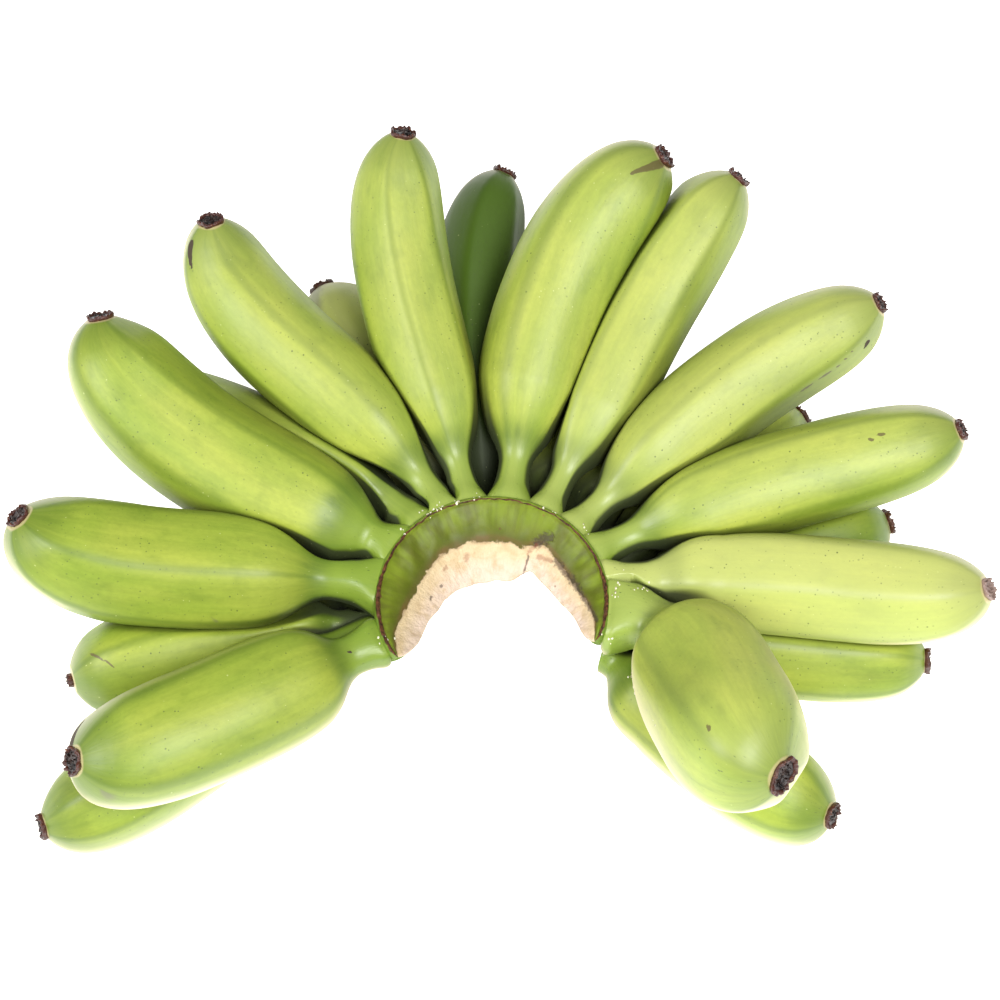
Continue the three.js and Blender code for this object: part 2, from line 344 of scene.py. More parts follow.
# In each look, colours are from 0 to 255. A pattern is: scale, low, high and, where it is drawn out,
# stretch and roughness. Specks are: scale, size, share. A ragged edge is: level, softness, scale,
# raggedness. A border goes from where an effect begins to where it is full, and may end with how strong
# it is at both.
peelLook = {
    "bright": (176, 186, 70),
    "plain": (144, 166, 52),
    "deep": (74, 102, 18),
    "pale": (208, 210, 132),
    "stalk": (118, 146, 50),
    "collar": (52, 88, 22),
    # painted shade in the hollows between the fingers
    "hollowShade": (30, 38, 8),
    # painted reflection of the pale ground at the skin's edges
    "groundReflection": (236, 218, 188),
    "speck": (66, 82, 34),
    "lenticel": (226, 232, 160),
    "ring": (206, 190, 140),
    "scab": (60, 42, 34),
    "bruise": (98, 94, 72),
    "stroke": (88, 70, 42),
    "clouds": (42.0, 0.3, 0.7, 0.35),
    "blots": (150.0, 0.48, 0.78, 0.5),
    "fibres": (420.0, 0.3, 0.7, 0.05, 0.6),
    "grain": (700.0, 0.3, 0.7, 0.7),
    "crowds": (75.0, 0.4, 0.65),
    "specks": (610.0, 0.25, 0.5),
    "lenticels": (520.0, 0.16, 0.1),
    "hurts": (("bruise", 0.6, 0.55), ("stroke", 0.2, 0.8), ("scab", 0.15, 0.95)),   # softness, strength
    "hurtLevel": 0.25,
    "hurtEdge": (500.0, 0.48),
    "ridgeBorder": (0.22, 0.0),
    "stalkBorder": (0.24, 0.1),
    "collarBorders": ((0.1, 0.16), (0.22, 0.16)),
    "tipBorder": (0.86, 1.0),
    "ringBorder": (0.9965, 0.9995),
    # how strong the painted shade in the hollows is, and how it eases off from the stalks to the body
    "hollowBorder": (0.55, 1.05),
    "hollowAlong": (0.18, 0.34, 0.9, 0.4),
    # where the painted reflection of the ground shows: at grazing angles, in the open, and more on faces that
    # point down
    "groundReflectionFacing": (0.5, 1.0),
    "groundReflectionOpen": (0.3, 0.1),
    "groundReflectionRise": (0.25, -0.35, 0.4, 0.85),
    "roughness": 0.47,
    "roughnessDrift": 0.18,
    "relief": (0.25, 0.0004),      # strength and depth
    "gloss": 0.6,
}


def peelMaterial():
    look = peelLook
    material, tree, shader = newMaterial("greenPeel")
    grown = attribute(tree, "grown", "Vector")       # the place on the finger, as if it had grown straight
    along, ridge, tone, near = (attribute(tree, name) for name in ("along", "ridge", "tone", "hollowShade"))
    clouds, blots, fibres, grain, crowds = (
        mottled(grown, *look[name]) for name in ("clouds", "blots", "fibres", "grain", "crowds"))
    specks = times(specked(grown, *look["specks"]), timesPlus(crowds["Mask"], 0.8, 0.2))
    atStalk = eased(along, *look["stalkBorder"])
    # painted shade: the skin darkens where other fingers close in on it, most on the stalks
    hollowShade = times(eased(near, *look["hollowBorder"]), eased(along, *look["hollowAlong"]))
    # a darker collar where the stalk goes over into the body
    collar = times(*(eased(along, *border) for border in look["collarBorders"]))
    collar = times(collar, times(blots["Raw"], 0.95))
    # a painted reflection of the pale ground: cream where the skin turns away in the open, and more where it
    # faces down
    facing = put(tree, "ShaderNodeLayerWeight", {"Blend": 0.5})["Facing"]
    rise = put(tree, "ShaderNodeSeparateXYZ", {0: put(tree, "ShaderNodeNewGeometry")["Normal"]})[2]
    groundReflection = times(eased(facing, *look["groundReflectionFacing"]), eased(near, *look["groundReflectionOpen"]))
    groundReflection = times(groundReflection, eased(rise, *look["groundReflectionRise"]))
    hurts = {}
    for kind, softness, strength in look["hurts"]:
        hurts[kind] = ragged(attribute(tree, kind), grown, look["hurtLevel"], softness, *look["hurtEdge"])

    # the colour also carries painted light and shade: the painted part of the tone, the shade in the hollows
    # and the ground's reflection at the edges
    colour = layered(
        look, "plain", (clouds["Mask"], 1, "bright"), (blots["Mask"], 0.3, "deep"),
        (eased(ridge, *look["ridgeBorder"]), 0.42, "deep"), (fibres["Mask"], 0.16, "deep"),
        (grain["Mask"], 0.12, "deep"), (atStalk, 0.75, "stalk"),
        (eased(along, *look["tipBorder"]), 0.55, "deep"),
        (collar, 1, "collar"), (tone, 1, "deep"), (minus(tone, 1.0), 1, "hollowShade"), (tone, -1.0, "pale"),
        (eased(along, *look["ringBorder"]), 0.7, "ring"), (hollowShade, 1, "hollowShade"), (specks, 0.75, "speck"),
        (specked(grown, *look["lenticels"]), 0.4, "lenticel"), (groundReflection, 1, "groundReflection"),
        *((hurts[kind], strength, kind) for kind, softness, strength in look["hurts"]))
    drift = look["roughnessDrift"]
    rough = timesPlus(atStalk, -0.1, timesPlus(clouds["Raw"], drift, look["roughness"] - drift / 2))
    rough = most(most(rough, times(hurts["scab"], 0.85)), times(hollowShade, 0.8))
    height = timesPlus(hurts["scab"], 0.8, timesPlus(fibres["Raw"], 0.5, times(grain["Raw"], 0.5)))
    height = minus(height, times(specks, 0.4))
    fill(shader, {"Base Color": colour, "Roughness": rough, "Normal": bumped(height, *look["relief"]),
                  "Specular IOR Level": look["gloss"]})
    return material


crownLook = {
    "skin": (82, 92, 18),
    "skinBright": (134, 156, 36),
    "skinGrey": (96, 102, 34),
    "skinBrown": (88, 76, 44),
    "wall": (104, 130, 42),
    # painted shade on the wall where the fingers close in on it
    "hollowShade": (34, 46, 18),
    "scar": (44, 28, 16),
    "scarRust": (108, 66, 40),
    "cut": (214, 192, 154),
    "cutPink": (218, 196, 178),
    "cutShade": (192, 166, 126),
    "border": (112, 80, 48),
    "rust": (128, 62, 42),
    "smear": (62, 48, 44),
    "speck": (92, 66, 40),
    "mottle": (170.0, 0.3, 0.7),
    "grain": (900.0, 0.3, 0.7),
    "streaks": (300.0, 0.3, 0.7),
    "fibres": (2200.0, 0.45, 0.75),
    "patches": (260.0, 0.42, 0.7),
    "specks": (340.0, 0.2, 0.12),
    "cutEdge": (7.95, 0.1, 420.0, 0.6),
    "smearEdge": (0.05, 0.8, 900.0, 1.9),
    "rustEdge": (0.0, 0.8, 900.0, 1.6),
    "scarEdge": (0.0, 0.4, 500.0, 0.5),
    "borderAt": 7.92,      # places across the section are counted in its corners
    "borderWidth": (0.32, 0.08),
    "brightBorder": (7.8, 6.4),
    "brownBorder": (7.4, 8.0),
    "pinkBorder": (8.2, 9.6),
    "wallBorders": ((4.1, 3.6), (10.6, 11.2)),
    "hollowBorder": (0.35, 0.9),
    "hollowAcross": (2.6, 1.2),
    "roughness": (0.45, 0.8),      # of the skin and of the cut
    "laidOut": (0.0005, 0.0008),   # a degree and a corner of the section, on the skin laid out flat
    "relief": (0.6, 0.0006),
    "gloss": 0.25,
}


def crownMaterial():
    look = crownLook
    material, tree, shader = newMaterial("crownFlesh")
    place = objectPlace(tree)
    across, bearing = attribute(tree, "across"), attribute(tree, "bearing")
    wide, deep = look["laidOut"]
    laid = combined(times(bearing, wide), times(across, deep))    # so that streaks run across the skin
    mottle, grain, patches = (mottled(place, *look[name]) for name in ("mottle", "grain", "patches"))
    streaks, fibres = (mottled(laid, *look[name]) for name in ("streaks", "fibres"))
    cutMask = ragged(across, place, *look["cutEdge"])
    smears, rust, scar = (
        ragged(attribute(tree, name), place, *look[name + "Edge"]) for name in ("smear", "rust", "scar"))
    # the knife cut: creamy fibres, pinker towards the free edge
    cut = layered(look, "cut", (eased(across, *look["pinkBorder"]), 1, "cutPink"),
                  (fibres["Mask"], 0.3, "cutShade"), (patches["Mask"], 0.6, "cutShade"))
    fromBorder = calc("ABSOLUTE", minus(across, look["borderAt"]))
    border = times(eased(fromBorder, *look["borderWidth"]), mottle["Mask"])
    # the wall and the underside are plain green skin, with painted shade on the wall where the stalks close
    # in
    wallMask = plus(*(eased(across, *border) for border in look["wallBorders"]))
    hollowShade = eased(attribute(tree, "hollowShade"), *look["hollowBorder"])
    hollowShade = times(hollowShade, eased(across, *look["hollowAcross"]))
    colour = layered(
        look, "skin", (mottle["Mask"], 1, "skinGrey"),
        (times(eased(across, *look["brightBorder"]), streaks["Mask"]), 0.55, "skinBright"),
        (eased(across, *look["brownBorder"]), 0.5, "skinBrown"), (cutMask, 1, cut), (border, 0.6, "border"),
        (smears, 0.7, "smear"), (rust, 0.45, "rust"),
        (wallMask, 1, layered(look, "wall", (hollowShade, 1, "hollowShade"))),
        (scar, 1, layered(look, "scar", (grain["Mask"], 1, "scarRust"))),
        (specked(place, *look["specks"]), 0.6, "speck"))
    height = times(cutMask, timesPlus(fibres["Raw"], 0.35, grain["Raw"]))
    height = plus(plus(height, times(mottle["Raw"], 0.6)), times(scar, grain["Raw"]))
    height = minus(height, times(smears, 0.5))
    fill(shader, {"Base Color": colour, "Roughness": eased(cutMask, 0.0, 1.0, *look["roughness"], "LINEAR"),
                  "Normal": bumped(height, *look["relief"]), "Specular IOR Level": look["gloss"]})
    return material


driedLook = {
    "dark": (22, 18, 18),
    "brown": (56, 40, 34),
    "pale": (158, 138, 124),
    "sheath": (76, 36, 26),
    "sheathPale": (184, 126, 88),
    "taupe": (150, 126, 116),
    "blotches": (520.0, 0.35, 0.65),
    "flakes": (1500.0, 0.6, 0.72),
    "relief": (0.6, 0.0005),
    "roughness": 0.32,
}


def driedMaterial():
    look = driedLook
    material, tree, shader = newMaterial("driedFlower")
    place = objectPlace(tree)
    blotches, flakes = mottled(place, *look["blotches"]), mottled(place, *look["flakes"])
    sheath = layered(look, "sheath", (flakes["Mask"], 0.6, "sheathPale"), (blotches["Mask"], 0.3, "dark"))
    colour = layered(look, "dark", (blotches["Mask"], 1, "brown"), (flakes["Mask"], 0.5, "pale"),
                     (attribute(tree, "rim"), 1, sheath), (attribute(tree, "paleness"), 0.85, "taupe"))
    fill(shader, {"Base Color": colour, "Roughness": look["roughness"],
                  "Normal": bumped(flakes["Raw"], *look["relief"])})
    return material


sapLook = {
    "cream": (236, 232, 206),
    "amber": (120, 92, 54),
    "clouds": (500.0, 0.5, 0.7),
    "roughness": 0.15,
}


def sapMaterial():
    look = sapLook
    material, tree, shader = newMaterial("driedSap")
    colour = layered(look, "cream", (mottled(objectPlace(tree), *look["clouds"])["Mask"], 1, "amber"))
    fill(shader, {"Base Color": colour, "Roughness": look["roughness"]})
    return material


peel, crownSkin, driedFlower, driedSap = peelMaterial(), crownMaterial(), driedMaterial(), sapMaterial()
print("materials made")

# How the hand is grown. Sizes are in millimetres and angles in degrees.
crown = {
    "wallRadius": 38,
    "wallFoot": 10,
    "rimHeight": 44,
    "rimWidth": 2.4,
    "rimDrop": 1.6,
    "rimCorners": ((0.1, 0.5), (0.45, 0), (0.85, 0.5)),   # shares of the rim's width and drop
    "footRound": 3,
    "skinSlope": 0.65,
    "cutSlope": 0.9,
    "cutHollow": 0.4,
    "edgeRound": 2,
    "swellings": 17,
    "swellingHeight": 0.5,
    "endLength": 0.035,
    "endSize": 0.12,
    "endCore": (35, 39.5),
    "footRise": (22, 25),  # over how many degrees the foot rises towards each end, and how far
    "stations": 330,
    "skinBulge": 0.5,
    "cutWaves": ((0.45, 0.35, 1), (0.27, 1.1, 2)),        # unevenness: height, how close together, seed
    "skinWaves": ((0.3, 0.3, 3),),
    "scarWaves": ((0.5, 0.7, 4),),
    "skinWander": ((0.7, 0.05, 5),),      # how the widths of skin, cut and scar and the scar's line vary
    "cutWander": ((0.7, 0.04, 6),),
    "scarSwell": ((0.5, 0.35, 7),),
    "scarWander": ((0.4, 0.5, 8),),
    "scarHeight": 0.25,
    # Where the cut, the skin, the scar and the stains are, counted in the section's corners.
    "cutFrom": (7.7, 11.2),
    "skinFrom": (5.5, 8.4),
    "scarAt": 4.5,
    "stainsFrom": (5, 11),
    "scarWidths": (        # bearing, width
        (-17, 0.9), (0, 1.0), (15, 0.7), (40, 0.3), (120, 0.28), (150, 0.5), (180, 1.1), (207, 1.0),
    ),
    "smear": (             # dark smears and creases: width, then a line seen from above
        (2.4, (14.5, 23.5), (18.5, 24.6)), (0.5, (11.8, 20.5), (9.3, 13.8)),
        (0.6, (-16.8, 11), (-16.4, 11.4)), (0.7, (-19.9, 6.2), (-19.5, 7)),
        (1.5, (20.5, 17.5), (25.5, 10.5), (28, 6.4)), (1.0, (28, 6.4), (31, 0), (33.5, -6)),
    ),
    "rust": (
        (1.3, (-8.8, 20.3), (-8.2, 20.9)), (0.8, (-15.7, 16), (-14.9, 17)),
        (0.6, (16.5, 31), (16.7, 31.1)), (1.0, (15, 20), (19, 18)), (0.9, (11.8, 21.5), (14.5, 23)),
    ),
    "widths": (            # bearing, width of the skin, width of the cut
        (-21, 0.5, 5), (-8, 2.5, 6.4), (2, 5, 6.8), (12, 7.3, 6.7), (30, 8.8, 6.8), (43, 8.1, 8),
        (55, 7.6, 8.4), (66, 10.2, 9.2), (92, 10.6, 11), (112, 9.9, 11), (140, 10.1, 10), (162, 9.9, 8.6),
        (184, 7, 8.9), (199, 2.6, 9.8), (211, 0.6, 7),
    ),
}

finger = {
    "outline": (           # place along the finger, half thickness as a share of half the girth
        (0, 0.4), (0.05, 0.35), (0.11, 0.345), (0.15, 0.45), (0.2, 0.69), (0.25, 0.85), (0.32, 0.94),
        (0.43, 0.99), (0.58, 1), (0.72, 0.99), (0.84, 0.91), (0.92, 0.755), (0.97, 0.52), (1, 0.24),
    ),
    "sides": 100,
    "stations": 120,
    "endCare": 0.55,       # how much closer together the stations are at both ends
    "ridges": 5,
    "ridgeHeight": 0.11,
    "ridgeMean": 0.27,     # what the ridges raise the skin by on average
    "ridgeRound": 0.24,    # how blunt the ridges are
    "ridgeDrift": 0.3,     # how unevenly they stand round the finger
    "stalkRidges": 0.4,    # how much of the ridges is left on the stalk
    "lumps": 0.5,          # how far the flesh swells or sinks unevenly
    "lumpScale": 28.0,
    "neckFrom": (0.12, 0.3),          # between them a thin stalk goes over into the body
    "shoulderFrom": (0, 0.1, 0.6, 0.25),      # where a shoulder's shift comes in, and where it goes
    "upperFlare": (4.4, 3.2),         # how far a stalk spreads at the crown, and over how far
    "lowerFlare": (6, 8),
    "gap": 0.12,           # left between fingers that press on each other
    "give": 1.6,           # how softly the flesh turns into a pressed face
    "lineSteps": 240,      # steps along its bent centre line
    "outlineSteps": 40,
    "pressing": 56,        # balls along a finger that its neighbours press on
    "rootCare": 1.3,       # how much closer together the balls are near the root
    "pressingRange": 4,
    "leastReach": 0.6,
    "tipOut": 1.3,         # how far the tips stand out beyond the solids' own
    "nodFrom": 0.78,       # where along a finger its tip begins to nod up
    "sagFrom": 0.4,        # from where it sags a little, so that the nodding tip stays where it is
    "drawnIn": 2.5,        # how far out the skin follows the crown's round wall
    "openFrom": (34, 6, 7),           # the painted shade fades where the crown's rim is open: from a height, how softly, how far out
    "sunny": 0.22,         # painted light: how much paler the skin is where it faces up
    "sunnyMean": 0.35,
    "hollowRange": 30,     # how far a neighbour casts painted shade on the skin that faces it
    "sunk": 1.2,           # how deep the stalks stand in the crown's wall
    "rimDrop": 0.35,       # how far below the crown's rim the stalks meet it
    "rimSlope": 0.7,       # how steeply their tops may climb from there
    "rimCurve": 12,
    "rimSoftness": 6,
    "fused": 12,           # over how far the stalks grow together, and how deep at the crown
    "fusedDepth": 4,
    "rootRound": 3,        # over how far a root rounds off
    "markTaper": 0.7,      # how much thinner a mark is at its end
}

# Each finger: stalk and level say where it leaves the crown, bearing, reach and height where its tip is, and
# ridge how far its ridges are turned about it. Then come the values that differ from the plain ones.
# turn: how far the stalk turns aside as it leaves. nod: how far the tip nods up. neck: the stalk's thickness.
# shoulder: how much earlier the body swells. rounding: share of its thickness that a root keeps at its end.
# tone: darker above 0, paler below; partly each finger's own depth of green and partly painted light and
# shade, and above 1 painted deep shade. dried: length of the flower's torn bits. wide, tall, spin, pale: the
# rest of the flower.
columns = ("stalk", "level", "bearing", "reach", "height", "girth", "curl", "swing", "ridge")
plain = {
    "turn": 0, "nod": 0, "neck": 1, "shoulder": 0, "rounding": 1.0, "tone": 0, "dried": 1, "wide": 1,
    "tall": 1, "spin": 0, "pale": 0,
}
upperFingers = (
    (197.5, 37, 204.8, 141, 54, 39.6, 3, -10, -17,
     dict(flare=(2.4, 3.2), turn=12, nod=20, shoulder=0.01, rounding=0.7, tone=0.3, wide=1.05, tall=1.05)),
    (167, 36, 171.0, 152, 55, 40, 32, -20, 13, dict(nod=8, shoulder=-0.03, tone=0.2, dried=1.1)),
    (146, 36, 144.2, 156.8, 63, 40, 36, -35, -4, dict(turn=5, shoulder=0.06, tone=0.1, dried=1.4)),
    (115, 36, 126.0, 157, 65, 34.6, 18, -22, -12, dict(nod=30, neck=0.88, tone=-0.05)),
    (102, 36, 100.9, 156, 77, 32.4, 18, -22, 19, dict(nod=18, neck=0.85, tone=-0.05, dried=0.9)),
    (82, 36, 69.0, 156, 75, 39, 16, -41, 20, dict(nod=6, neck=0.8, tone=-0.05, dried=2.2)),
    (64, 36, 60.6, 165, 65, 32.4, 14, -17, 12,
     dict(nod=3, neck=0.82, tone=-0.15, dried=0.9, wide=0.95, tall=0.95)),
    (47, 36, 38.6, 161.5, 57, 33.2, 6, -20, 20, dict(nod=16, neck=0.85, tone=-0.2, wide=0.85, tall=0.85)),
    (31, 36, 20.6, 161, 52, 33.3, 8, -6, 4,
     dict(nod=12, neck=0.9, tone=-0.05, dried=0.8, wide=0.85, tall=0.85)),
    (12, 35, 1.2, 157, 45, 34.8, 16, 0, -25,
     dict(flare=(3.6, 4), nod=10, neck=1.25, tone=-0.4, wide=0.9, tall=0.8, pale=1)),
    (-2, 35.5, -40.6, 114, 80, 45.5, 6, 15, -31,
     dict(flare=(4, 6), nod=-6, neck=1.2, shoulder=-0.05, rounding=0.8, tone=-0.1, dried=0.9,
          wide=1.1, tall=1.45, spin=-25)),
)
lowerFingers = (
    (186, 27, 204.7, 156, 15, 34.5, 4, -10, 0,
     dict(flare=(0.5, 8), turn=14, nod=8, rounding=0.6, tone=0.25)),
    (177.5, 17, 186.5, 136, 16, 35, 6, 8, 14,
     dict(flare=(3.5, 8), neck=1.25, tone=0.2, dried=0.6, wide=0.5, tall=0.5)),
    (157, 18, 157, 108, 14, 34, 6, 0, 0, dict(neck=1.5, dried=0.8)),
    (129, 32, 142, 146, 20, 32.5, 10, -6, 20, dict(dried=0.8)),
    (108, 17, 114.1, 141, 18, 36, 8, 0, 0, dict(tone=-0.5, dried=0.7)),
    # lower_06's tone above 1 paints the deep shade it lies in between upper_05 and upper_06
    (92, 19, 88.7, 165.5, 33, 31, 10, -22, 10, dict(tone=1.15, dried=1.2)),
    (72, 17, 74, 131, 16, 33, 6, 0, 0, dict(neck=1.15, dried=1.4)),
    (57, 18, 46, 130, 17, 32, 6, 0, 0, dict(neck=1.15, dried=0.8)),
    (34, 18, 38.5, 131, 15, 32, 6, 0, 0, dict()),
    (16, 18, 17.5, 136, 16, 34, 6, 0, 0, dict(tone=0.55)),
    (-2, 18, -3.5, 140, 16, 32.3, 6, 0, -20, dict(flare=(3, 8))),
    (-10, 20, -30.8, 124, 20, 34.5, 4, 14, 23,
     dict(flare=(0.5, 8), turn=-38, nod=14, neck=1.15, shoulder=0.05, rounding=0.1, tone=0.1)),
)

# Old hurts of the skin: finger, kind, width, then a line of places along and around it.
marks = (
    ("upper_01", "scab", 2.6, (0.998, 96), (0.965, 88), (0.94, 82)),
    ("upper_01", "scab", 0.9, (0.105, -13), (0.112, -10)),
    ("upper_01", "bruise", 4.5, (0.94, -84), (0.955, -80)),
    ("upper_02", "bruise", 1.6, (0.425, -76), (0.44, -72)),
    ("upper_04", "scab", 1.8, (0.97, -70), (0.945, -64), (0.925, -62)),
    ("upper_06", "stroke", 2.0, (0.998, 44), (0.972, 28), (0.95, 21), (0.93, 17)),
    ("upper_08", "scab", 1.8, (0.935, 84), (0.92, 88)),
    ("upper_08", "stroke", 0.7, (0.68, 78), (0.75, 74), (0.82, 77), (0.89, 68)),
    ("upper_09", "stroke", 0.55, (0.77, 4), (0.8, 0), (0.85, -2)),
    ("upper_11", "stroke", 0.6, (0.83, 30), (0.88, 34)),
    ("lower_05", "bruise", 6.0, (0.98, -30), (0.8, -34), (0.7, -30)),
    ("lower_02", "stroke", 0.6, (0.93, 6), (0.89, -12), (0.84, -32)),
)

# The crown's own axis, read from the solid: its wall is a circle round it.
crownLow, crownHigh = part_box("crown")
crownAxis = Vector(((crownLow[0] + crownHigh[0]) / 2, crownHigh[1] - crown["wallRadius"] * mm, 0))


# A finger as a tree of nodes: a bar moulded round a bent centre line, with an outline, ridges and lumps.
def fingerTree():
    tree, given, result = newTree("growFinger", "GeometryNodeTree", {
        "Vector": "root, rootHandle, tipHandle, tip", "Int": "sides, stations", "Material": "peel",
        "Float": "girth, ridges, ridgeHeight, ridgeRound, ridgeTurn, ridgeDrift, stalkRidges, nod, nodFrom, "
                 "sagFrom, neck, shoulder, flare, flareLength, endCare, lumps, seed",
    }, {"Geometry": "Geometry"})
    line = shape(tree, "CurvePrimitiveBezierSegment", {
        "Resolution": 64, "Start": given["root"], "Start Handle": given["rootHandle"],
        "End Handle": given["tipHandle"], "End": given["tip"]})
    body = shape(tree, "MeshCylinder", {
        "Vertices": given["sides"], "Side Segments": given["stations"], "Radius": 1.0, "Depth": 1.0,
    }, fill_type="NGON")
    at = put(tree, "ShaderNodeSeparateXYZ", {0: shape(tree, "InputPosition")})
    evenly = plus(at[2], 0.5)
    care = times(given["endCare"], calc("SINE", times(evenly, 2 * pi)))
    along = minus(evenly, divided(care, 2 * pi))
    around = calc("ARCTAN2", at[0], at[1])
    sample = put(tree, "GeometryNodeSampleCurve", {"Curves": line, "Factor": along}, mode="FACTOR")
    side = unit(cross3(sample["Tangent"], (0, 0, 1)))
    over = unit(cross3(side, sample["Tangent"]))

    # the last stretch nods up, and the rest gives way so that the tip stays where it is
    length = shape(tree, "CurveLength", {0: line})
    nodding = eased(along, given["nodFrom"], 1.0, kind="LINEAR")
    steep = calc("TANGENT", times(given["nod"], eased(nodding, 0.0, 1.0)))
    ahead = unit(plus3(sample["Tangent"], scaled(over, steep)))
    climb = timesPlus(power(nodding, 4.0), -0.5, power(nodding, 3.0))
    climb = timesPlus(eased(along, given["sagFrom"], 1.0), -0.5, climb)
    stretch = times(minus(1.0, given["nodFrom"]), length)
    climb = times(times(climb, stretch), calc("TANGENT", given["nod"]))
    middle = plus3(sample["Position"], scaled(over, climb))
    over = unit(cross3(side, ahead))

    comes, came, goes, gone = finger["shoulderFrom"]
    atShoulder = times(eased(along, comes, came), eased(along, goes, gone))
    shifted = timesPlus(atShoulder, given["shoulder"], along)
    outline = put(tree, "ShaderNodeFloatCurve", {"Value": shifted})[0]
    mapping = outline.node.mapping
    points = mapping.curves[0].points
    places = np.linspace(0, 1, finger["outlineSteps"] + 1)
    for point, place in ((points[0], 0), (points[-1], 1)):
        point.location = (place, valueAt(finger["outline"], place))
    for place in places[1:-1]:
        points.new(place, valueAt(finger["outline"], place))
    mapping.update()
    radius = times(given["girth"], 0.5)
    neck = eased(along, *finger["neckFrom"], given["neck"], 1.0, "LINEAR")
    fromRoot = divided(times(along, length), given["flareLength"])
    flare = calc("EXPONENT", times(fromRoot, -1.0))
    thickness = timesPlus(flare, given["flare"], times(times(outline, neck), radius))

    # ridges: flat faces that meet in blunt edges, unevenly spaced, weaker on the stalk
    drift = calc("SINE", plus(around, given["seed"]))
    turned = timesPlus(drift, given["ridgeDrift"], plus(around, given["ridgeTurn"]))
    cell = times(turned, divided(given["ridges"], 2 * pi))
    fromRidge = times(calc("PINGPONG", cell, 0.5), 2.0)
    blunt = plus(power(fromRidge, 2.0), power(given["ridgeRound"], 2.0))
    ridge = power(minus(1.0, calc("MINIMUM", calc("SQRT", blunt), 1.0)), 2.0)
    strength = eased(along, 0.06, 0.3, given["stalkRidges"], 1.0)
    swell = timesPlus(times(minus(ridge, finger["ridgeMean"]), given["ridgeHeight"]), strength, 1.0)
    cosine, sine = calc("COSINE", around), calc("SINE", around)
    grown = combined(times(cosine, radius), times(sine, radius), times(along, length))
    lumps = cloudy(tree, finger["lumpScale"], 1.0, vector=grown, seed=given["seed"])
    lumps = times(times(minus(lumps, 0.5), times(given["lumps"], 2.0)), outline)
    direction = plus3(scaled(over, cosine), scaled(side, sine))
    surface = plus3(middle, scaled(direction, timesPlus(thickness, swell, lumps)))

    for name, value in (("along", along), ("around", around), ("ridge", fromRidge)):
        body = stored(body, name, value)
    for name, value in (("spine", middle), ("grown", grown)):
        body = stored(body, name, value, "FLOAT_VECTOR")
    body = shape(tree, "FlipFaces", {"Mesh": moved(body, surface)})
    handOut(body, given["peel"], result)
    return tree


def onBearing(bearing, reach, height):
    return crownAxis + polar(bearing, reach, height) * mm


# The four points that a finger's centre line bends between: out from the crown's wall, then on to the tip.
def centrePoints(one):
    root = onBearing(one["stalk"], crown["wallRadius"] + 0.3, one["level"])
    tip = onBearing(one["bearing"], one["reach"], one["height"])
    tip += (tip - root).normalized() * finger["tipOut"] * mm
    chord = tip - root
    aside = up.cross(chord).normalized()
    rise = chord.cross(aside).normalized()
    outwards = polar(one["stalk"] + one["turn"], 1, 0)
    arrive = chord.normalized() + rise * tan(radians(one["curl"])) + aside * tan(radians(one["swing"]))
    third = chord.length / 3
    return root, root + outwards * third, tip - arrive.normalized() * third, tip


# The balls that fill a finger: their places along it, centres and radii.
def ballsOf(one, points):
    t = np.linspace(0, 1, finger["lineSteps"] + 1)[:, None]
    a, b, c, d = (np.array(point) for point in points)
    curve = (1 - t) ** 3 * a + 3 * (1 - t) ** 2 * t * b + 3 * (1 - t) * t**2 * c + t**3 * d
    travelled = np.concatenate([[0], np.cumsum(np.linalg.norm(np.diff(curve, axis=0), axis=1))])
    length = travelled[-1]
    places = np.linspace(0, 1, finger["pressing"] + 1) ** finger["rootCare"]
    centres = np.stack([np.interp(places * length, travelled, curve[:, i]) for i in range(3)], axis=1)
    ahead = np.gradient(centres, axis=0)
    over = np.cross(np.cross(ahead, (0, 0, 1)), ahead)
    over /= np.linalg.norm(over, axis=1)[:, None]
    nodding = shareOf(places, finger["nodFrom"], 1)
    climb = nodding**3 - nodding**4 / 2 - easedShare(places, finger["sagFrom"], 1) / 2
    climb *= (1 - finger["nodFrom"]) * length * tan(radians(one["nod"]))
    centres += over * climb[:, None]
    comes, came, goes, gone = finger["shoulderFrom"]
    shifted = places + one["shoulder"] * easedShare(places, comes, came) * easedShare(places, goes, gone)
    radii = np.array([valueAt(finger["outline"], place) for place in shifted]) * one["girth"] * mm / 2
    radii *= np.interp(places, finger["neckFrom"], (one["neck"], 1))
    flare, flareLength = one["flare"]
    radii += flare * mm * np.exp(-places * length / (flareLength * mm))
    return places, centres, radii


# The lesser of two lengths, turning softly from one to the other.
def softLesser(first, second, width):
    near = np.clip(1 - np.abs(first - second) / width, 0, 1)
    return np.minimum(first, second) - near**2 * width / 4


def lengthOf(one):
    return np.linalg.norm(np.diff(one["centres"], axis=0), axis=1).sum()


